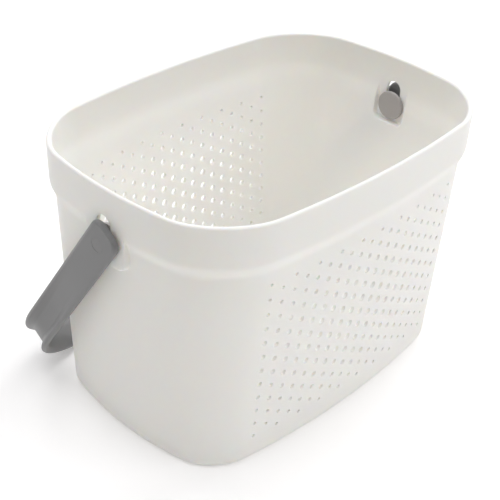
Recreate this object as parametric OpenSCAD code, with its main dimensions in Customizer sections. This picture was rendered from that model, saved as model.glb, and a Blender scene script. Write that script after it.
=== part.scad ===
// Storage and shower caddy: an open tub with perforated long walls and a drop bail handle.
// +Z is up, X runs along the tub, the handle hangs down behind the tub on the +Y side.
// The origin is the centre of the flat underside.

/* [Tub] */
// Length over the rim
rim_length = 260; // [240:1:280]
// Depth over the rim
rim_depth = 184; // [170:1:200]
// Height from the underside to the rim
tub_height = 177.4; // [170:0.2:185]
// Length at the underside, which is less because of the moulding draft
base_length = 238.2; // [220:0.2:240]
// Depth at the underside
base_depth = 160.2; // [150:0.2:162]
// Corner radius at the rim
rim_corner = 41; // [36:1:45]
// Corner radius at the underside
base_corner = 23; // [20:1:30]
// How far the end walls bow outwards at the middle
end_bow = 11.3; // [8:0.1:12]
// How far the long walls bow outwards at the middle
side_bow = 10.2; // [8:0.1:12]
// Wall thickness of the body
wall = 2.5; // [2:0.1:3]
// Wall thickness of the rim
rim_wall = 3.0; // [2.6:0.1:3.4]
// Thickness of the floor
floor_t = 2.6; // [2:0.1:4]
// Radius between the underside and the walls
foot_r = 4; // [3:0.5:6]
// Height of the lower edge of the collar
collar_z = 151.5; // [150:0.5:154]
// Height at which the slanted ledge under the collar meets the body
ledge_z = 143.5; // [142:0.5:146]
// How far the collar stands out from the body
collar_step = 3.3; // [2.5:0.1:3.6]

/* [Perforations] */
// Distance between neighbouring holes of the triangular pattern
hole_pitch = 10.4; // [10:0.1:12]
// Hole diameter at the middle of the field
hole_d_mid = 4.7; // [3:0.1:5]
// Hole diameter at the edge of the field
hole_d_edge = 2.0; // [1:0.1:3]
// Height of the top row of holes
hole_top_z = 133.5; // [120:0.5:136]
// Drain hole diameter in the floor
drain_d = 4.5; // [3:0.5:6]

/* [Pivots] */
// Height of the handle axis when the buttons rest at the bottom of their slots
pivot_z = 142.7; // [140:0.1:145]
// Width of the vertical slot in each end wall
slot_w = 11.0; // [10:0.1:11]
// How far the buttons can slide up in their slots
slot_travel = 11.9; // [8:0.1:12]
// Diameter of the button's disc inside the tub
button_d = 20; // [19:0.1:21]
// Thickness of the button's disc
button_t = 2.4; // [2:0.1:3]

/* [Handle] */
// Width of the strap
strap_w = 23; // [20:0.5:24]
// Thickness of the strap at the pivots
strap_t = 4; // [3.5:0.1:4]
// Thickness of the channelled grip
grip_t = 6.8; // [6:0.1:7]
// Depth of the trough along the grip
trough_d = 3.4; // [2:0.1:3.5]
// Distance from the handle axis to the outer face of the grip
handle_reach = 164.6; // [164:0.1:166]
// Outer radius of the bends
bend_r = 55; // [45:1:60]
// Distance that the pivot ends reach beyond the handle axis
end_reach = 13; // [11:0.5:16]
// Angle of the hanging handle from the vertical
hang_angle = 34.1; // [34:0.1:36]

/* [Hidden] */

off_white = [0.90, 0.895, 0.875];
mid_grey = [0.50, 0.50, 0.50];

A1 = rim_length/2;   // half length at the rim
B1 = rim_depth/2;    // half depth at the rim
A0 = base_length/2;  // half length at the underside
B0 = base_depth/2;   // half depth at the underside
H = tub_height;
body_a = A1 - 0.5 - collar_step;  // half length where the body meets the ledge
body_b = B1 - 0.5 - collar_step;

// half length, half depth and corner radius of the body's outer face at height z
function wa(z) = A0 + (body_a - A0)*z/ledge_z;
function wb(z) = B0 + (body_b - B0)*z/ledge_z;
function wr(z) = base_corner + (rim_corner - 4 - base_corner)*z/ledge_z;
// the same for the collar
function ca(z) = A1 - 0.5*(H - z)/(H - collar_z);
function cb(z) = B1 - 0.5*(H - z)/(H - collar_z);

// A quarter of a rounded rectangle, from (a, 0) to (0, b), as q_n + 1 points
q_s = 5;   // steps on the end wall's half
q_c = 9;   // steps round the corner
q_l = 6;   // steps on the long wall's half
q_n = q_s + q_c + q_l;
function quarter(j, a, b, r) =
    j < q_s ? [a, (b - r)*j/q_s] :
    j <= q_s + q_c ? [a - r + r*cos(90*(j - q_s)/q_c), b - r + r*sin(90*(j - q_s)/q_c)] :
    [(a - r)*(1 - (j - q_s - q_c)/q_l), b];
// Bows the four sides outwards: the middles stay, the corners come in
function bowed(p, a, b) = [p[0]*(1 - end_bow/a*pow(p[1]/b, 2)), p[1]*(1 - side_bow/b*pow(p[0]/a, 2))];
function around(k, a, b, r) = let(
        s = floor(k/q_n), j = k % q_n,
        p = s % 2 == 0 ? quarter(j, a, b, r) : quarter(q_n - j, a, b, r))
    bowed([(s == 1 || s == 2 ? -1 : 1)*p[0], (s >= 2 ? -1 : 1)*p[1]], a, b);
// One ring of the wall: [height, half length, half depth, corner radius]
function ring(g) = [for (k = [0 : 4*q_n - 1]) let(p = around(k, g[1], g[2], g[3])) [p[0], p[1], g[0]]];
function body_ring(z, t) = [z, wa(z) - t, wb(z) - t, wr(z) - t*0.6];
function collar_ring(z, t) = [z, ca(z) - t, cb(z) - t, rim_corner - t*0.6];

in_r = 5;  // radius between the floor and the walls inside
rings = concat(
    // outside, from the underside up to the rim
    [for (i = [0 : 4]) let(w = 90*i/4) body_ring(foot_r*(1 - cos(w)), foot_r*(1 - sin(w)))],
    [body_ring(ledge_z - 0.6, 0), collar_ring(collar_z - 8 + 0.9, collar_step - 0.45),
     collar_ring(collar_z - 0.9, 0.45), collar_ring(collar_z + 0.8, 0)],
    // over the rim
    [for (i = [0 : 6]) let(w = 180*i/6) collar_ring(H - rim_wall/2*(1 - sin(w)), rim_wall/2*(1 - cos(w)))],
    // inside, from the rim down to the floor
    [collar_ring(collar_z + 3.2, rim_wall - 0.3), collar_ring(collar_z + 1.4, rim_wall + 0.1),
     body_ring(ledge_z + 3.4, wall - 0.5), body_ring(ledge_z + 1.6, wall)],
    [for (i = [0 : 4]) let(w = 90*i/4) body_ring(floor_t + in_r*(1 - sin(w)), wall + in_r*(1 - cos(w)))]
);
ring_n = 4*q_n;
ring_m = len(rings);

module tub_shell() {
    polyhedron(
        points = [for (g = rings) each ring(g)],
        faces = concat(
            [[for (k = [0 : ring_n - 1]) k]],
            [for (i = [0 : ring_m - 2], k = [0 : ring_n - 1]) let(n = (k + 1) % ring_n)
                each [[i*ring_n + k, (i + 1)*ring_n + k, (i + 1)*ring_n + n], [i*ring_n + k, (i + 1)*ring_n + n, i*ring_n + n]]],
            [[for (k = [ring_n - 1 : -1 : 0]) (ring_m - 1)*ring_n + k]]),
        convexity = 6);
}

// A rectangle in the YZ plane with two rounded lower corners, as a slab from x0 to x1
module end_slab(x0, x1, half_w, z0, z1, r) {
    translate([x0, 0, 0]) rotate([90, 0, 90]) linear_extrude(x1 - x0) union() {
        translate([-half_w, z0 + r]) square([2*half_w, z1 - z0 - r]);
        translate([-half_w + r, z0]) square([2*half_w - 2*r, r + 1]);
        for (s = [-1, 1]) translate([s*(half_w - r), z0 + r]) circle(r = r, $fn = 48);
    }
}

pad_half = 16.2;   // half width of the pad outside each pivot
pad_low = 128.6;   // its lower edge
rec_half = 12.2;   // half width of the recess inside each pivot
rec_low = 130.8;   // its lower edge
pad_x = A1;        // the pad is flush with the collar
rec_x = A1 - 3.1;  // floor of the recess

// The flat pad that carries the handle outside the end wall at +X
module pad() {
    intersection() {
        end_slab(pad_x - 9, pad_x, pad_half, pad_low, H, 6);
        translate([0, pad_half + 2, 0]) rotate([90, 0, 0]) linear_extrude(2*pad_half + 4)
            polygon([[pad_x - 5.9, pad_low - 1], [pad_x - 1, pad_low - 1], [pad_x, pad_low + 1], [pad_x, collar_z + 6],
                     [pad_x - 2, collar_z + 6], [pad_x - 5.9, ledge_z + 1]]);
    }
}

// The recess for the button's disc and the vertical slot for its shank, in the end wall at +X
module pivot_cut() {
    end_slab(A1 - 20, rec_x, rec_half, rec_low, collar_z + 9, 6);
    translate([A1 - 10, 0, 0]) rotate([90, 0, 90]) linear_extrude(20) union() {
        translate([-slot_w/2, pivot_z]) square([slot_w, slot_travel]);
        for (z = [pivot_z, pivot_z + slot_travel]) translate([0, z]) circle(d = slot_w, $fn = 48);
    }
}

hole_dx = hole_pitch*sqrt(3)/2;
// The holes shrink from the middle of the field to its edges
function hole_d(x, z) = let(t = min(1, sqrt(pow(x/112, 2) + pow((z - 77)/66, 2))))
    hole_d_mid - (hole_d_mid - hole_d_edge)*pow(t, 1.8);
// Columns that sit half a pitch lower are the even ones
module perforations() {
    for (c = [-9 : 9]) let(even = c % 2 == 0, x = c*hole_dx)
        for (k = [0 : even ? 10 : 11]) let(z = hole_top_z - hole_pitch*(k + (even ? 0.5 : 0)))
            translate([x, 110, z]) rotate([90, 0, 0]) cylinder(d = hole_d(x, z), h = 220, $fn = 24);
}

// Drain holes in the floor, in staggered rows that leave the middle clear
module drains() {
    for (r = [-2 : 2]) let(n = r % 2 == 0 ? 3 : 4)
        for (i = [0 : n - 1]) let(x = (i - (n - 1)/2)*46, y = r*22)
            if (abs(x) + abs(y) > 1)
                translate([x, y, -1]) cylinder(d = drain_d, h = floor_t + 3, $fn = 24);
}

module basket() {
    color(off_white) difference() {
        union() {
            tub_shell();
            pad();
            mirror([1, 0, 0]) pad();
        }
        pivot_cut();
        mirror([1, 0, 0]) pivot_cut();
        perforations();
        drains();
    }
}

// ---- handle ----
arm_in = pad_x + 0.6;          // inner face of the arms
arm_out = arm_in + strap_t;    // outer face of the arms
grip_half = arm_out - bend_r;  // half length of the straight part of the grip
bend_l = handle_reach - bend_r;
neck_r = 3.0;                  // the button's neck, which turns in the arm
bore_r = 3.05;
head_r = 4.5;                  // the staked end of the button, sunk in the arm
sink_r = 4.6;
head_t = 1.1;
sink_d = 1.3;
shank_r = slot_w/2 - 0.3;      // the part that slides in the slot

// Stations along the outer face, each [x, distance from the axis, inward x, inward distance, half width, channel 0 to 1]
end_c = 6;  // corner radius of the pivot ends
function channel(l) = let(t = max(0, min(1, (l - 28)/80))) t*t*(3 - 2*t);
left_end = [for (i = [0 : 6]) let(w = 90*i/6)
    [-arm_out, -end_reach + end_c*(1 - cos(w)), 1, 0, strap_w/2 - end_c + end_c*sin(w), 0]];
left_arm = [for (i = [1 : 15]) let(l = -end_reach + end_c + (bend_l + end_reach - end_c)*i/16)
    [-arm_out, l, 1, 0, strap_w/2, channel(l)]];
left_bend = [for (i = [0 : 12]) let(w = 90*i/12)
    [-grip_half - bend_r*cos(w), bend_l + bend_r*sin(w), cos(w), -sin(w), strap_w/2, channel(bend_l + bend_r*sin(w))]];
half_path = concat(left_end, left_arm, left_bend);
path = concat(half_path, [for (i = [len(half_path) - 1 : -1 : 0]) let(s = half_path[i]) [-s[0], s[1], -s[2], s[3], s[4], s[5]]]);

// The strap's section as [across, depth below the outer face]; c runs from flat strap to channel
function smooth(t) = let(u = max(0, min(1, t))) u*u*(3 - 2*u);
function section(hw, c) = let(
        t = strap_t + (grip_t - strap_t)*c,
        re = 1.4,                       // rounding of the outer edges
        iw = 1.4 + 8.1*c, it = 1.4 + 3.9*c, // rounding of the inner edges
        d = trough_d*c)
    concat(
        [for (i = [0 : 16]) let(w = (-1 + 2*i/16)*(hw - re)) [w, d*smooth((hw - 1.6 - abs(w))/5)]],
        [for (i = [1 : 3]) let(v = 90*i/3) [hw - re + re*sin(v), re - re*cos(v)]],
        [for (i = [0 : 6]) let(v = 90*i/6) [hw - iw + iw*cos(v), t - it + it*sin(v)]],
        [for (i = [0 : 6]) let(v = 90 - 90*i/6) [-(hw - iw + iw*cos(v)), t - it + it*sin(v)]],
        [for (i = [3 : -1 : 1]) let(v = 90*i/3) [-(hw - re + re*sin(v)), re - re*cos(v)]]);
strap_rings = [for (s = path) [for (q = section(s[4], s[5])) [s[0] + s[2]*q[1], q[0], -(s[1] + s[3]*q[1])]]];
sn = len(strap_rings[0]);
sm = len(strap_rings);

// middle of each end face, which its triangles fan out from
end_mid = [for (g = [strap_rings[0], strap_rings[sm - 1]]) [g[0][0] + (g[0][0] > 0 ? -strap_t/2 : strap_t/2), 0, g[0][2]]];

module strap() {
    polyhedron(
        points = concat([for (g = strap_rings) each g], end_mid),
        faces = concat(
            [for (k = [0 : sn - 1]) [sn*sm, (k + 1) % sn, k]],
            [for (i = [0 : sm - 2], k = [0 : sn - 1]) let(n = (k + 1) % sn)
                each [[i*sn + k, i*sn + n, (i + 1)*sn + n], [i*sn + k, (i + 1)*sn + n, (i + 1)*sn + k]]],
            [for (k = [0 : sn - 1]) [sn*sm + 1, (sm - 1)*sn + k, (sm - 1)*sn + (k + 1) % sn]]),
        convexity = 6);
}

module handle() {
    color(mid_grey) translate([0, 0, pivot_z]) rotate([hang_angle, 0, 0]) difference() {
        strap();
        for (s = [-1, 1]) {
            translate([s*(arm_in + strap_t/2), 0, 0]) rotate([0, 90, 0]) cylinder(r = bore_r, h = strap_t + 4, center = true, $fn = 48);
            translate([s*(arm_out - sink_d + 2), 0, 0]) rotate([0, 90, 0]) cylinder(r = sink_r, h = 4, center = true, $fn = 48);
        }
    }
}

// The button for the end at +X: a disc inside the tub, a shank in the slot, a neck in the arm and a staked end
button_x = rec_x - 0.5;  // back face of the disc
module pivot_button() {
    translate([0, 0, pivot_z]) rotate([0, 90, 0]) rotate_extrude($fn = 64)
        polygon([[0, button_x - button_t], [button_d/2 - 0.9, button_x - button_t], [button_d/2 - 0.25, button_x - button_t + 0.25],
                 [button_d/2, button_x - button_t + 0.9], [button_d/2, button_x], [shank_r, button_x], [shank_r, arm_in - 0.2],
                 [neck_r, arm_in - 0.2], [neck_r, arm_out - sink_d + 0.1], [head_r, arm_out - sink_d + 0.1],
                 [head_r, arm_out - 0.35], [head_r - 0.25, arm_out - 0.1], [0, arm_out - 0.1]]);
}
module left_pivot_button() { color(mid_grey) mirror([1, 0, 0]) pivot_button(); }
module right_pivot_button() { color(mid_grey) pivot_button(); }

basket();
handle();
left_pivot_button();
right_pivot_button();
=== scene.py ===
"""Visual model of a handled storage and shower tub: off-white perforated tub, grey bail handle, two pivot buttons."""
import math
import bmesh
import bpy
import numpy as np
from mathutils import Matrix, Vector
from mathutils.geometry import delaunay_2d_cdt


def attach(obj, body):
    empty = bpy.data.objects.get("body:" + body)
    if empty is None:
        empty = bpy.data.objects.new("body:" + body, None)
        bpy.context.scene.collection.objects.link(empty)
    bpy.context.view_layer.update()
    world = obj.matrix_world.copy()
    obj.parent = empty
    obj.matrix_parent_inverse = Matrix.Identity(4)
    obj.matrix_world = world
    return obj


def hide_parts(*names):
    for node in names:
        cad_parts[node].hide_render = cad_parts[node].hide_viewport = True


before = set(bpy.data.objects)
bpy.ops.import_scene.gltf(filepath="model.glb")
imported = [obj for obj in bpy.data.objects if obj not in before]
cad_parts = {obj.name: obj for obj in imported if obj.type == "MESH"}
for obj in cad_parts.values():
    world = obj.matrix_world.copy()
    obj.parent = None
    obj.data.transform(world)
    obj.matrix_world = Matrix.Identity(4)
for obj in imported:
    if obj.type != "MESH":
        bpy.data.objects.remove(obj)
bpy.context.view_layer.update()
scene = bpy.context.scene
MM = 0.001

# ------------------------------------------------------------------ sizes, in mm, the same as the design's
A1, B1, H = 130.0, 91.93, 177.4          # rim half length, half depth, height
A0, B0 = 119.1, 80.1                     # underside
LEDGE, COLLAR = 143.5, 151.5
BODY_A = A1 - 0.5 - 3.3
END_BOW, SIDE_BOW = 11.3, 10.2
PIVOT_Z, TRAVEL, SLOT_R = 142.7, 11.9, 5.5
WALL, RIM_R, FOOT_R, IN_R, FLOOR = 2.5, 1.5, 4.0, 5.0, 2.6
PITCH, D_MID, D_EDGE, TOP_Z = 10.4, 4.7, 2.0, 133.5
DX = PITCH * math.sqrt(3) / 2
XE = 9.5 * DX                            # half width of the perforated field


def poly_smooth(z, pts):
    """Piecewise line through (z, value, blend half length) points, with its corners rounded by parabolas."""
    z = np.asarray(z, float)
    slopes = [(pts[i + 1][1] - pts[i][1]) / (pts[i + 1][0] - pts[i][0]) for i in range(len(pts) - 1)]
    out = pts[0][1] + slopes[0] * (z - pts[0][0])
    for i in range(1, len(pts) - 1):
        zc, _, h = pts[i]
        dm = slopes[i] - slopes[i - 1]
        t = z - zc
        out = out + np.where(t >= h, dm * t, np.where(t > -h, dm * (t + h) ** 2 / (4 * h), 0.0))
    return out


def a_out(z):
    return poly_smooth(z, [(0, A0, 0), (LEDGE, BODY_A, 2.2), (COLLAR, A1 - 0.5, 2.2), (H, A1, 0)])


def a_in(z):
    return poly_smooth(z, [(0, A0 - WALL, 0), (145.4, BODY_A + 0.1 - WALL, 4.4), (154.2, A1 - 3.25, 4.4), (H, A1 - 3.0, 0)])


def d_ab(z):
    return (A0 - B0) + ((A1 - B1) - (A0 - B0)) * np.minimum(1, np.asarray(z, float) / LEDGE)


def r_out(z):
    return poly_smooth(z, [(0, 23.0, 0), (LEDGE, 37.0, 2.0), (COLLAR, 40.8, 2.0), (H, 41.0, 0)])


def level(z, inner=False, inset=0.0):
    a = (a_in(z) if inner else a_out(z)) - inset
    b = a - d_ab(z)
    r = r_out(z) - (1.5 if inner else 0.0) - 0.6 * inset
    return float(z), float(a), float(b), float(r)


def outline_y(x, a, b, r):
    """Half depth of the bowed outline at a real distance x from the middle; x, a, b and r may be arrays."""
    x, a, b, r = np.broadcast_arrays(*[np.asarray(v, float) for v in (x, a, b, r)])
    x = np.abs(x)
    lo, hi = np.zeros(x.shape), a - 0.05 * r
    for _ in range(44):
        m = (lo + hi) / 2
        y = np.where(m <= a - r, b, b - r + np.sqrt(np.maximum(r * r - (m - a + r) ** 2, 0)))
        xr = m * (1 - END_BOW / a * (y / b) ** 2)
        lo, hi = np.where(xr < x, m, lo), np.where(xr < x, hi, m)
    m = (lo + hi) / 2
    y = np.where(m <= a - r, b, b - r + np.sqrt(np.maximum(r * r - (m - a + r) ** 2, 0)))
    return y * (1 - SIDE_BOW / b * (m / a) ** 2), m


def outline_x(y, a, b):
    """Half length of the bowed outline at a real distance y from the middle, near the middle of an end wall."""
    yy = np.abs(y) / (1 - SIDE_BOW / b)
    return a - END_BOW * (yy / b) ** 2


NE, NC, NL = 10, 44, 38                  # steps on a quarter: end wall, corner, long wall
NQ = NE + NC + NL
END_HALF = 20.0


def quarter(lv):
    z, a, b, r = lv
    ye = np.linspace(0, END_HALF, NE + 1)
    end = np.stack([outline_x(ye, a, b), ye], 1)
    xl = np.linspace(XE, 0, NL + 1)
    yl, m = outline_y(xl, a, b, r)
    long_ = np.stack([xl, yl], 1)
    # the corner runs along the outline before it is bowed, by equal lengths
    y0 = END_HALF / (1 - SIDE_BOW / b)
    xm = float(m[0])
    if xm <= a - r:
        sweep, tail = math.pi / 2, a - r - xm
    else:
        sweep, tail = math.acos(min(1.0, (xm - (a - r)) / r)), 0.0
    s1, s2 = b - r - y0, r * sweep
    s = np.linspace(0, s1 + s2 + tail, NC + 1)
    t = np.clip((s - s1) / r, 0, sweep)
    px = np.where(s <= s1, a, a - r + r * np.cos(t))
    py = np.where(s <= s1, y0 + s, b - r + r * np.sin(t))
    late = s > s1 + s2
    px = np.where(late, (a - r) - (s - s1 - s2), px)
    py = np.where(late, b, py)
    cx = px * (1 - END_BOW / a * (py / b) ** 2)
    cy = py * (1 - SIDE_BOW / b * (px / a) ** 2)
    corner = np.stack([cx, cy], 1)
    return np.concatenate([end, corner[1:-1], long_])


def ring(lv):
    q = quarter(lv)
    back = q[::-1]
    pts = np.concatenate([q[:-1], (back * [-1, 1])[:-1], (q * [-1, -1])[:-1], (back * [1, -1])[:-1]])
    return np.concatenate([pts, np.full((len(pts), 1), lv[0])], 1)


N = 4 * NQ
fine_z = [TOP_Z + PITCH / 2 - 2.6 * (48 - j) for j in range(49)]     # 13.9 up to 138.7
up_rows, levels = [], []


def add(lv, kind):
    """kind: c for a row that every column has, f for one that only the long walls have."""
    levels.append(lv)
    up_rows.append(kind)


for i in range(8):
    w = math.pi / 2 * i / 7
    add(level(FOOT_R * (1 - math.cos(w)), inset=FOOT_R * (1 - math.sin(w))), "c")
add(level(8.5), "c")
OUT_FIRST = len(levels)
for j, z in enumerate(fine_z):
    add(level(z), "c" if j % 2 == 0 else "f")
for z in (140.3, 141.4, 142.4, 143.5, 144.6, 145.7, 147.5, 149.3, 150.3, 151.4, 152.5, 153.6, 156, 160):
    add(level(z), "c")
add(level(164.0), "c")
OUT_TOP = len(levels) - 1
for z in (168, 172):
    add(level(z), "c")
for i in range(13):
    w = math.pi * i / 12
    z, a, b, r = level(H)
    t = RIM_R * (1 - math.cos(w))
    zz = H - RIM_R * (1 - math.sin(w))
    lv = level(zz)
    add((zz, lv[1] - t, lv[2] - t, lv[3] - 0.6 * t), "c")
for z in (172, 168):
    add(level(z, True), "c")
add(level(164.0, True), "c")
IN_TOP = len(levels) - 1
for z in (161, 158.5, 157.2, 156, 155, 154, 153, 152, 151, 149, 148, 147, 146, 145, 144, 143, 142, 140.5):
    add(level(z, True), "c")
IN_FIRST = len(levels)
for j in range(48, -1, -1):
    add(level(fine_z[j], True), "c" if j % 2 == 0 else "f")
add(level(10.5, True), "c")
for i in range(8):
    w = math.pi / 2 * i / 7
    add(level(FLOOR + IN_R * (1 - math.sin(w)), True, IN_R * (1 - math.cos(w))), "c")
M = len(levels)

verts = [tuple(p) for lv in levels for p in ring(lv)]
faces = []


def vi(col, row):
    return row * N + col % N


LONG = [(NE + NC, NE + NC + 2 * NL), (2 * NQ + NE + NC, 2 * NQ + NE + NC + 2 * NL)]   # column ranges of the back and front walls
ENDS = [(-NE, NE), (2 * NQ - NE, 2 * NQ + NE)]
ROW_LOW, ROW_LOW_Z = 42, fine_z[42]      # lower edge of the end patches, 123.1 mm up


def is_long(col):
    return any(a <= col % N < b for a, b in LONG)


def is_end(col):
    return any((col - a) % N < b - a for a, b in ENDS)


coarse = [j for j in range(M) if up_rows[j] == "c"]
for col in range(N):
    if is_long(col):
        for j in range(M - 1):
            if OUT_FIRST <= j < OUT_FIRST + 48 or IN_FIRST <= j < IN_FIRST + 48:
                continue
            faces.append((vi(col, j), vi(col + 1, j), vi(col + 1, j + 1), vi(col, j + 1)))
    else:
        for j0, j1 in zip(coarse[:-1], coarse[1:]):
            if is_end(col):
                if OUT_FIRST + ROW_LOW <= j0 and j1 <= OUT_TOP:
                    continue
                if IN_TOP <= j0 and j1 <= IN_FIRST + 48 - ROW_LOW:
                    continue
            right = [vi(col + 1, j) for j in range(j0 + 1, j1)] if is_long(col + 1) else []
            left = [vi(col, j) for j in range(j1 - 1, j0, -1)] if is_long(col - 1) else []
            faces.append(tuple([vi(col, j0), vi(col + 1, j0)] + right + [vi(col + 1, j1), vi(col, j1)] + left))


# ---- perforated fields of the two long walls: one cell of 16 sides round each hole
def surf_y(x, z, inner):
    z = np.asarray(z, float)
    a = a_in(z) if inner else a_out(z)
    return outline_y(x, a, a - d_ab(z), r_out(z) - (1.5 if inner else 0))[0]


def hole_d(x, z):
    t = min(1.0, math.hypot(x / 112, (z - 77) / 66))
    return D_MID - (D_MID - D_EDGE) * t ** 1.8


RIM16 = [(2, 0), (2, 1), (2, 2), (1, 2), (0, 2), (-1, 2), (-2, 2), (-2, 1), (-2, 0), (-2, -1), (-2, -2), (-1, -2), (0, -2), (1, -2), (2, -2), (2, -1)]
ang16 = [math.radians(22.5 * k) for k in range(16)]

for back, (c0, c1) in zip((True, False), LONG):
    side = 1 if back else -1

    def at(i, j, inner):
        """Grid vertex: i steps of a quarter column from x = -XE, j fine rows up."""
        col = (c1 - i) if back else (c0 + i)
        return vi(col, (IN_FIRST + 48 - j) if inner else (OUT_FIRST + j))

    for c in range(-9, 10):
        odd = c % 2 != 0
        i0 = (c + 9) * 4
        blanks = [] if odd else [(46, 48), (0, 2)]
        for inner in (False, True):
            for lo, hi in blanks:
                for i in range(i0, i0 + 4):
                    for j in range(lo, hi):
                        faces.append((at(i, j, inner), at(i + 1, j, inner), at(i + 1, j + 1, inner), at(i, j + 1, inner)))
        for k in range(12 if odd else 11):
            jc = (46 if odd else 44) - 4 * k
            x, z = c * DX, fine_z[jc]
            r = hole_d(x, z) / 2
            f = min(0.42, 0.35 * r)
            tube = []
            for inner in (False, True):
                prev = [at(i0 + 2 + u, jc + v, inner) for u, v in RIM16]
                toward = 1 if inner else -1
                for dr, sink in ((f, 0.0), (0.62 * f, 0.06 * f), (0.3 * f, 0.29 * f), (0.08 * f, 0.62 * f), (0.0, f)):
                    xs = np.array([x + (r + dr) * math.cos(t) for t in ang16])
                    zs = np.array([z + (r + dr) * math.sin(t) for t in ang16])
                    ys = surf_y(xs, zs, inner) + toward * sink
                    base = len(verts)
                    verts.extend((float(p), side * float(q), float(s)) for p, q, s in zip(xs, ys, zs))
                    cur = [base + n for n in range(16)]
                    faces.extend((prev[n], prev[(n + 1) % 16], cur[(n + 1) % 16], cur[n]) for n in range(16))
                    prev = cur
                tube.append(prev)
            faces.extend((tube[0][n], tube[0][(n + 1) % 16], tube[1][(n + 1) % 16], tube[1][n]) for n in range(16))


# ---- the pivot areas of the two end walls
def u_distance(y, z, half, low, r):
    """Signed distance to a U: straight sides at |y| = half, round lower corners, open upwards. Negative inside."""
    ay = abs(y)
    qy, qz = ay - (half - r), (low + r) - z
    if qy > 0 and qz > 0:
        return math.hypot(qy, qz) - r
    return max(ay - half, low - z)


def stadium(y, z):
    zc = min(max(z, PIVOT_Z), PIVOT_Z + TRAVEL)
    return math.hypot(y, z - zc) - SLOT_R


PAD, REC = (16.2, 128.6, 6.0), (12.2, 130.8, 5.5)
PAD_LOOPS = [(-1.1, 1.0), (-0.55, 0.96), (-0.15, 0.82), (0.25, 0.3), (0.55, 0.06), (1.1, 0.0)]
REC_LOOPS = [(-0.7, 1.0), (-0.35, 0.93), (0.0, 0.5), (0.35, 0.1), (0.9, 0.0)]
SLOT_LOOPS = [(0.0, 0.45), (0.06, 0.2), (0.2, 0.06), (0.45, 0.0)]


def mask(d, loops):
    ds, ms = [p[0] for p in loops], [p[1] for p in loops]
    return float(np.interp(d, ds, ms))


def end_x(y, z, inner):
    f = a_in if inner else a_out
    a = float(f(z))
    base = float(outline_x(y, a, a - float(d_ab(z))))
    top_z = max(z, 158.0 if inner else 154.2)
    at_ = float(f(top_z))
    target = float(outline_x(y, at_, at_ - float(d_ab(top_z))))
    d = u_distance(y, z, *(REC if inner else PAD))
    m = mask(d, REC_LOOPS if inner else PAD_LOOPS)
    x = base + (target - base) * m
    sink = float(np.interp(stadium(y, z), [p[0] for p in SLOT_LOOPS], [p[1] for p in SLOT_LOOPS]))
    return x + (sink if inner else -sink)


def u_loop(half, low, r, off, top):
    h, l, q = half + off, low - off, max(0.4, r + off)
    pts = [(h, z) for z in np.linspace(top, l + q, 12)[:-1]]
    pts += [(h - q + q * math.cos(t), l + q - q * math.sin(t)) for t in np.linspace(0, math.pi / 2, 11)]
    pts += [(y, l) for y in np.linspace(h - q, -(h - q), 12)[1:-1]]
    pts += [(-(h - q) - q * math.sin(t), l + q - q * math.cos(t)) for t in np.linspace(0, math.pi / 2, 11)]
    pts += [(-h, z) for z in np.linspace(l + q, top, 12)[1:]]
    return pts


def s_loop(off):
    r = SLOT_R + off
    pts = [(r * math.cos(t), PIVOT_Z + r * math.sin(t)) for t in np.linspace(math.pi, 2 * math.pi, 25)]
    pts += [(r, z) for z in np.linspace(PIVOT_Z, PIVOT_Z + TRAVEL, 9)[1:-1]]
    pts += [(r * math.cos(t), PIVOT_Z + TRAVEL + r * math.sin(t)) for t in np.linspace(0, math.pi, 25)]
    pts += [(-r, z) for z in np.linspace(PIVOT_Z + TRAVEL, PIVOT_Z, 9)[1:-1]]
    return pts


def end_patch(sgn, inner):
    """Fills one end wall's patch on one face, and returns the slot's edge as vertex numbers."""
    c0, c1 = ENDS[0] if sgn > 0 else ENDS[1]
    if inner:
        rows = [j for j in coarse if IN_TOP <= j <= IN_FIRST + 48 - ROW_LOW][::-1]
    else:
        rows = [j for j in coarse if OUT_FIRST + ROW_LOW <= j <= OUT_TOP]
    cols = list(range(c0, c1 + 1))
    edge_loop = [vi(c, rows[0]) for c in cols] + [vi(c1, j) for j in rows[1:]] + [vi(c, rows[-1]) for c in cols[-2::-1]] + [vi(c0, j) for j in rows[-2:0:-1]]
    pts = [(verts[v][1], verts[v][2]) for v in edge_loop]
    n_edge = len(pts)
    edges = [(i, (i + 1) % n_edge) for i in range(n_edge)]
    slots = []
    for off, _ in SLOT_LOOPS:
        loop = s_loop(off)
        b = len(pts)
        pts += loop
        slots.append(range(b, b + len(loop)))
        edges += [(b + i, b + (i + 1) % len(loop)) for i in range(len(loop))]
    shape, loops = (REC, REC_LOOPS) if inner else (PAD, PAD_LOOPS)
    for off, _ in loops:
        loop = u_loop(*shape, off, 157.0 if inner else 153.8)
        b = len(pts)
        pts += loop
        edges += [(b + i, b + i + 1) for i in range(len(loop) - 1)]
    taken = np.array(pts)
    for y in np.arange(-END_HALF + 1.0, END_HALF, 1.4):
        for z in np.arange(ROW_LOW_Z + 1.0, 163.5, 1.4):
            if stadium(y, z) < 0.9:
                continue
            if np.min(np.hypot(taken[:, 0] - y, taken[:, 1] - z)) < 0.75:
                continue
            d = u_distance(y, z, *shape)
            if loops[0][0] - 0.4 < d < loops[-1][0] + 0.4 and z < 157.5:
                continue
            pts.append((y, z))
    out_v, _, out_f, ids, _, _ = delaunay_2d_cdt([Vector(p) for p in pts], edges, [], 0, 1e-5)
    number = {}
    for n, origin in enumerate(ids):
        if origin and min(origin) < n_edge:
            number[n] = edge_loop[min(origin)]
        else:
            y, z = out_v[n]
            number[n] = len(verts)
            verts.append((sgn * end_x(y, z, inner), float(y), float(z)))
    where = {}
    for n, origin in enumerate(ids):
        for o in origin:
            where[o] = number[n]
    for f in out_f:
        cy = sum(out_v[i][0] for i in f) / len(f)
        cz = sum(out_v[i][1] for i in f) / len(f)
        if stadium(cy, cz) < 0:
            continue
        faces.append(tuple(number[i] for i in f))
    return [where[i] for i in slots[0]]


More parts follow.
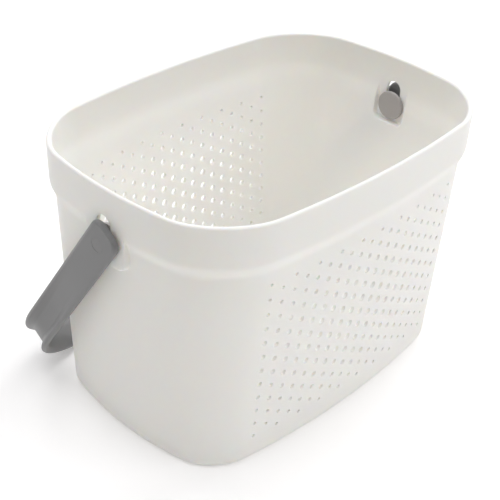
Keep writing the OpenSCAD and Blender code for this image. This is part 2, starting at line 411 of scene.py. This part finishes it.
for sgn in (1, -1):
    o, i_ = end_patch(sgn, False), end_patch(sgn, True)
    n = len(o)
    faces.extend((o[k], o[(k + 1) % n], i_[(k + 1) % n], i_[k]) for k in range(n))

# ---- underside and floor, with their drain holes
drains = []
for row in range(-2, 3):
    n = 3 if row % 2 == 0 else 4
    for i in range(n):
        x, y = (i - (n - 1) / 2) * 46, row * 22
        if abs(x) + abs(y) > 1:
            drains.append((x, y))


def cap(ring_ids, z, sink):
    pts = [(verts[v][0], verts[v][1]) for v in ring_ids]
    n0 = len(pts)
    edges = [(i, (i + 1) % n0) for i in range(n0)]
    loops = []
    for x, y in drains:
        for rr in (2.25, 2.6):
            b = len(pts)
            pts += [(x + rr * math.cos(math.tau * k / 28), y + rr * math.sin(math.tau * k / 28)) for k in range(28)]
            edges += [(b + k, b + (k + 1) % 28) for k in range(28)]
            if rr == 2.25:
                loops.append(range(b, b + 28))
    for x in np.arange(-108, 109, 12.0):
        for y in np.arange(-66, 67, 12.0):
            if (x / 112) ** 4 + (y / 72) ** 4 < 0.8 and all(math.hypot(x - p, y - q) > 4 for p, q in drains):
                pts.append((x, y))
    out_v, _, out_f, ids, _, _ = delaunay_2d_cdt([Vector(p) for p in pts], edges, [], 0, 1e-5)
    number, where = {}, {}
    for n, origin in enumerate(ids):
        if origin and min(origin) < n0:
            number[n] = ring_ids[min(origin)]
        else:
            x, y = out_v[n]
            near = min(math.hypot(x - p, y - q) for p, q in drains)
            number[n] = len(verts)
            verts.append((float(x), float(y), z + (sink if near < 2.4 else 0.0)))
        for o in origin:
            where[o] = number[n]
    for f in out_f:
        cx = sum(out_v[i][0] for i in f) / len(f)
        cy = sum(out_v[i][1] for i in f) / len(f)
        if any(math.hypot(cx - p, cy - q) < 2.24 for p, q in drains):
            continue
        faces.append(tuple(number[i] for i in f))
    return [[where[i] for i in loop] for loop in loops]


low = cap([vi(c, 0) for c in range(N)], 0.0, 0.3)
top = cap([vi(c, M - 1) for c in range(N)], FLOOR, -0.3)
for p, q in zip(low, top):
    faces.extend((p[k], p[(k + 1) % 28], q[(k + 1) % 28], q[k]) for k in range(28))


def new_object(name, verts_mm, polys, angle=38.0):
    me = bpy.data.meshes.new(name)
    me.from_pydata([(x * MM, y * MM, z * MM) for x, y, z in verts_mm], [], polys)
    bm = bmesh.new()
    bm.from_mesh(me)
    bmesh.ops.delete(bm, geom=[v for v in bm.verts if not v.link_faces], context="VERTS")
    bmesh.ops.recalc_face_normals(bm, faces=bm.faces)
    for f in bm.faces:
        f.smooth = True
    open_edges = sum(1 for e in bm.edges if len(e.link_faces) != 2)
    if open_edges:
        print(f"{name}: {open_edges} edges are not shared by two faces")
    bm.to_mesh(me)
    bm.free()
    obj = bpy.data.objects.new(name, me)
    scene.collection.objects.link(obj)
    return obj


def finish_mesh(obj, angle=40.0, weighted=True):
    me = obj.data
    me.set_sharp_from_angle(angle=math.radians(angle))
    if weighted:
        m = obj.modifiers.new("normals", "WEIGHTED_NORMAL")
        m.keep_sharp = True
        m.weight = 50
        m.mode = "FACE_AREA"
        bpy.context.view_layer.objects.active = obj
        obj.select_set(True)
        bpy.ops.object.modifier_apply(modifier=m.name)
        obj.select_set(False)


tub = new_object("tub_shell", verts, faces)
finish_mesh(tub)

# ------------------------------------------------------------------ handle
ARM_IN, STRAP_T, GRIP_T, TROUGH = 130.6, 4.0, 6.8, 3.4
ARM_OUT = ARM_IN + STRAP_T
STRAP_W, REACH, BEND_R, END_REACH, END_C, HANG = 23.0, 164.6, 55.0, 13.0, 6.0, 34.1
GRIP_HALF, BEND_L = ARM_OUT - BEND_R, REACH - BEND_R


def channel(l):
    t = max(0.0, min(1.0, (l - 28) / 80))
    return t * t * (3 - 2 * t)


def smooth01(t):
    t = max(0.0, min(1.0, t))
    return t * t * (3 - 2 * t)


stations = []
for i in range(13):
    w = math.pi / 2 * i / 12
    stations.append((-ARM_OUT, -END_REACH + END_C * (1 - math.cos(w)), 1, 0, STRAP_W / 2 - END_C + END_C * math.sin(w), 0))
for i in range(1, 48):
    l = -END_REACH + END_C + (BEND_L + END_REACH - END_C) * i / 48
    stations.append((-ARM_OUT, l, 1, 0, STRAP_W / 2, channel(l)))
for i in range(37):
    w = math.pi / 2 * i / 36
    stations.append((-GRIP_HALF - BEND_R * math.cos(w), BEND_L + BEND_R * math.sin(w), math.cos(w), -math.sin(w), STRAP_W / 2,
                     channel(BEND_L + BEND_R * math.sin(w))))
mid = [(-GRIP_HALF * (1 - 2 * i / 24), REACH, 0, -1, STRAP_W / 2, channel(REACH)) for i in range(1, 24)]
path = stations + mid + [(-s[0], s[1], -s[2], s[3], s[4], s[5]) for s in stations[::-1]]


def section(hw, c):
    """The strap across: (position, depth below the outer face), with a rounder outer edge than the design's."""
    t = STRAP_T + (GRIP_T - STRAP_T) * c
    rw, rd = 3.0, 2.3
    iw, it = 1.4 + 8.1 * c, 1.4 + 2.9 * c
    d = TROUGH * c

    def trough(w):
        return d * smooth01((hw - 1.8 - abs(w)) / 5)

    pts = [(w, trough(w)) for w in ((-1 + 2 * i / 40) * (hw - rw) for i in range(41))]
    edge = [(hw - rw + rw * math.sin(v), rd - rd * math.cos(v)) for v in (math.radians(10 * i) for i in range(1, 10))]
    pts += [(w, e + trough(w)) for w, e in edge]
    pts += [(hw - iw + iw * math.cos(v), t - it + it * math.sin(v)) for v in (math.radians(6 * i) for i in range(16))]
    pts += [(-(hw - iw + iw * math.cos(v)), t - it + it * math.sin(v)) for v in (math.radians(90 - 6 * i) for i in range(16))]
    pts += [(-w, e + trough(w)) for w, e in edge[::-1]]
    return pts


hv, hf, size = [], [], 0
hang = Matrix.Rotation(math.radians(HANG), 3, "X")
for s in path:
    sec = section(s[4], s[5])
    size = len(sec)
    for w, t in sec:
        p = hang @ Vector((s[0] + s[2] * t, w, -(s[1] + s[3] * t)))
        hv.append((p.x, p.y, p.z + PIVOT_Z))
count = len(path)
for i in range(count - 1):
    for k in range(size):
        n = (k + 1) % size
        hf.append((i * size + k, i * size + n, (i + 1) * size + n, (i + 1) * size + k))
hf.append(tuple(range(size)))
hf.append(tuple((count - 1) * size + k for k in range(size)))
handle = new_object("bail_handle", hv, hf)


def cylinder_x(name, x0, x1, radius, sides=64):
    vs, fs = [], []
    for x in (x0, x1):
        for k in range(sides):
            t = math.tau * k / sides
            vs.append((x, radius * math.cos(t), PIVOT_Z + radius * math.sin(t)))
    fs = [(k, (k + 1) % sides, sides + (k + 1) % sides, sides + k) for k in range(sides)]
    fs += [tuple(range(sides)), tuple(range(sides, 2 * sides))]
    return new_object(name, vs, fs)


def cut(obj, tool):
    m = obj.modifiers.new("cut", "BOOLEAN")
    m.operation, m.solver, m.object = "DIFFERENCE", "EXACT", tool
    bpy.context.view_layer.objects.active = obj
    bpy.ops.object.modifier_apply(modifier=m.name)
    bpy.data.objects.remove(tool)


for s in (-1, 1):
    cut(handle, cylinder_x("tool", s * (ARM_IN - 3), s * (ARM_OUT + 3), 3.05))
    cut(handle, cylinder_x("tool", s * (ARM_OUT - 1.3), s * (ARM_OUT + 3), 4.6))
finish_mesh(handle, 35.0)


# ------------------------------------------------------------------ pivot buttons
def button(name, sgn):
    x0 = 126.4                                   # back face of the disc
    front = x0 - 2.4
    prof = [(0.0, front), (4.0, front), (8.0, front + 0.03)]
    prof += [(10.0 - 0.9 + 0.9 * math.sin(v), front + 0.9 - 0.9 * math.cos(v)) for v in (math.radians(10 * i) for i in range(10))]
    prof += [(10.0, x0 - 0.3), (9.91, x0 - 0.09), (9.7, x0), (5.4, x0), (5.2, x0 + 0.2), (5.2, ARM_IN - 0.4), (5.0, ARM_IN - 0.2),
             (3.0, ARM_IN - 0.2), (3.0, ARM_OUT - 1.2), (4.36, ARM_OUT - 1.2), (4.56, ARM_OUT - 1.0)]
    prof += [(4.56 - 0.2 + 0.2 * math.cos(v), ARM_OUT - 0.25 + 0.2 * math.sin(v)) for v in (math.radians(15 * i) for i in range(7))]
    prof += [(2.0, ARM_OUT - 0.05), (0.0, ARM_OUT - 0.05)]
    sides = 96
    vs, fs, rings = [], [], []
    for r, x in prof:
        if r == 0:
            rings.append([len(vs)])
            vs.append((sgn * x, 0.0, PIVOT_Z))
        else:
            rings.append(list(range(len(vs), len(vs) + sides)))
            vs += [(sgn * x, r * math.cos(math.tau * k / sides), PIVOT_Z + r * math.sin(math.tau * k / sides)) for k in range(sides)]
    for p, q in zip(rings[:-1], rings[1:]):
        for k in range(sides):
            n = (k + 1) % sides
            if len(p) == 1:
                fs.append((p[0], q[k], q[n]))
            elif len(q) == 1:
                fs.append((p[k], p[n], q[0]))
            else:
                fs.append((p[k], p[n], q[n], q[k]))
    obj = new_object(name, vs, fs)
    finish_mesh(obj, 40.0)
    return obj


button_l = button("pivot_button_minus_x", -1)
button_r = button("pivot_button_plus_x", 1)


# ------------------------------------------------------------------ materials
def plastic(name, base, dark, rough, grain, grain_depth, sss=0.0, sss_scale=0.002, ior=1.49, gloss=0.5, outer=None):
    """Moulded polypropylene: fine spark-eroded grain, slow changes of gloss, a trace of colour drift."""
    mat = bpy.data.materials.new(name)
    mat.use_nodes = True
    nt = mat.node_tree
    nt.nodes.clear()
    out = nt.nodes.new("ShaderNodeOutputMaterial")
    bsdf = nt.nodes.new("ShaderNodeBsdfPrincipled")
    nt.links.new(bsdf.outputs[0], out.inputs[0])
    co = nt.nodes.new("ShaderNodeTexCoord")
    slow = nt.nodes.new("ShaderNodeTexNoise")
    slow.inputs["Scale"].default_value = 14.0
    slow.inputs["Detail"].default_value = 3.0
    slow.inputs["Roughness"].default_value = 0.45
    nt.links.new(co.outputs["Object"], slow.inputs["Vector"])
    mix = nt.nodes.new("ShaderNodeMix")
    mix.data_type = "RGBA"
    mix.inputs["A"].default_value = (*base, 1)
    mix.inputs["B"].default_value = (*dark, 1)
    nt.links.new(slow.outputs["Fac"], mix.inputs["Factor"])
    colour = mix.outputs["Result"]
    if outer:
        # the button is painted in two greys: the disc and stud keep a lighter grey, painted light that brightens the
        # disc in the shade of its recess, and the staked outer end takes the handle's own grey
        sep = nt.nodes.new("ShaderNodeSeparateXYZ")
        nt.links.new(co.outputs["Object"], sep.inputs[0])
        far = nt.nodes.new("ShaderNodeMath")
        far.operation = "ABSOLUTE"
        nt.links.new(sep.outputs["X"], far.inputs[0])
        step = nt.nodes.new("ShaderNodeMapRange")
        step.inputs["From Min"].default_value = 0.1300
        step.inputs["From Max"].default_value = 0.1305
        nt.links.new(far.outputs[0], step.inputs["Value"])
        pick = nt.nodes.new("ShaderNodeMix")
        pick.data_type = "RGBA"
        nt.links.new(step.outputs["Result"], pick.inputs["Factor"])
        nt.links.new(colour, pick.inputs["A"])
        pick.inputs["B"].default_value = (*outer, 1)
        colour = pick.outputs["Result"]
    nt.links.new(colour, bsdf.inputs["Base Color"])
    fine = nt.nodes.new("ShaderNodeTexNoise")
    fine.inputs["Scale"].default_value = grain
    fine.inputs["Detail"].default_value = 2.0
    fine.inputs["Roughness"].default_value = 0.6
    nt.links.new(co.outputs["Object"], fine.inputs["Vector"])
    rmap = nt.nodes.new("ShaderNodeMapRange")
    rmap.inputs["From Min"].default_value = 0.3
    rmap.inputs["From Max"].default_value = 0.7
    rmap.inputs["To Min"].default_value = rough - 0.05
    rmap.inputs["To Max"].default_value = rough + 0.06
    nt.links.new(slow.outputs["Fac"], rmap.inputs["Value"])
    nt.links.new(rmap.outputs["Result"], bsdf.inputs["Roughness"])
    bump = nt.nodes.new("ShaderNodeBump")
    bump.inputs["Strength"].default_value = 0.35
    bump.inputs["Distance"].default_value = grain_depth
    nt.links.new(fine.outputs["Fac"], bump.inputs["Height"])
    nt.links.new(bump.outputs["Normal"], bsdf.inputs["Normal"])
    bsdf.inputs["IOR"].default_value = ior
    bsdf.inputs["Specular IOR Level"].default_value = gloss
    bsdf.inputs["Subsurface Weight"].default_value = sss
    bsdf.inputs["Subsurface Radius"].default_value = (1.0, 0.8, 0.6)
    bsdf.inputs["Subsurface Scale"].default_value = sss_scale
    return mat


white = plastic("white_polypropylene", (0.94, 0.925, 0.893), (0.928, 0.912, 0.878), 0.5, 1500.0, 0.00006, sss=0.5, sss_scale=0.004, gloss=0.28)
grey = plastic("grey_polypropylene", (0.232, 0.232, 0.232), (0.222, 0.222, 0.222), 0.44, 1400.0, 0.00007)
# painted light: the button's lighter grey brightens its disc in the shade of the recess; its outer end is painted the
# handle's grey
grey_btn_painted_light = plastic("grey_button_painted_light", (0.435, 0.412, 0.396), (0.425, 0.402, 0.386), 0.42, 1400.0, 0.00006, outer=(0.228, 0.227, 0.226))

tub.data.materials.append(white)
handle.data.materials.append(grey)
button_l.data.materials.append(grey_btn_painted_light)
button_r.data.materials.append(grey_btn_painted_light)

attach(tub, "tub")
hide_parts("basket")
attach(handle, "bail")
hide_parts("handle")
for obj, node in ((button_l, "left_pivot_button"), (button_r, "right_pivot_button")):
    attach(obj, "pivots")
    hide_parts(node)

# ------------------------------------------------------------------ stage
fme = bpy.data.meshes.new("floor")
fme.from_pydata([(-6, -6, 0), (6, -6, 0), (6, 6, 0), (-6, 6, 0)], [], [(0, 1, 2, 3)])
floor = bpy.data.objects.new("floor", fme)
scene.collection.objects.link(floor)
fmat = bpy.data.materials.new("pale_floor")
fmat.use_nodes = True
fb = fmat.node_tree.nodes["Principled BSDF"]
fb.inputs["Base Color"].default_value = (0.945, 0.935, 0.925, 1)
fb.inputs["Roughness"].default_value = 0.8
fb.inputs["Specular IOR Level"].default_value = 0.2
fb.inputs["Emission Color"].default_value = (1, 1, 1, 1)
fb.inputs["Emission Strength"].default_value = 0.19
fme.materials.append(fmat)

world = bpy.data.worlds.new("studio")
scene.world = world
world.use_nodes = True
bg = world.node_tree.nodes["Background"]
bg.inputs["Color"].default_value = (1.0, 1.0, 1.0, 1)
bg.inputs["Strength"].default_value = 0.06


def area(name, loc, target, size, power, color=(0.977, 0.977, 0.992)):
    li = bpy.data.lights.new(name, "AREA")
    li.shape = "RECTANGLE"
    li.size, li.size_y = size
    li.energy = power
    li.color = color
    ob = bpy.data.objects.new(name, li)
    ob.location = loc
    ob.rotation_euler = (Vector(target) - Vector(loc)).to_track_quat("-Z", "Y").to_euler()
    scene.collection.objects.link(ob)
    return ob


area("top", (0.05, 0.05, 1.9), (0, 0, 0.1), (1.8, 1.8), 16.6)
area("key", (0.55, -1.5, 1.35), (0, 0, 0.1), (1.5, 1.2), 12.4)
area("left_high", (-0.8, 0.3, 1.8), (0, 0, 0.1), (1.2, 1.2), 8.2)
area("right_high", (1.5, 0.1, 1.3), (0, 0, 0.1), (1.2, 1.2), 14.5)
area("back_high", (0.1, 1.6, 1.4), (0, 0, 0.1), (1.5, 1.2), 13.5)

# ------------------------------------------------------------------ camera
cam = bpy.data.cameras.new("camera")
cam.sensor_fit = "HORIZONTAL"
cam.sensor_width = 36.0
cam.lens = 1145.28 / 500 * 36.0
cam.clip_start, cam.clip_end = 0.05, 50
cam_ob = bpy.data.objects.new("camera", cam)
scene.collection.objects.link(cam_ob)
fwd = Vector((0.614697, 0.561589, -0.553864)).normalized()
up = Vector((0.373392, 0.411348, 0.831487))
right = fwd.cross(up).normalized()
up = right.cross(fwd).normalized()
rot = Matrix((right, up, -fwd)).transposed().to_4x4()
cam_ob.matrix_world = Matrix.Translation(Vector((-0.463446, -0.414244, 0.492290))) @ rot
scene.camera = cam_ob
scene.view_settings.view_transform = "Standard"
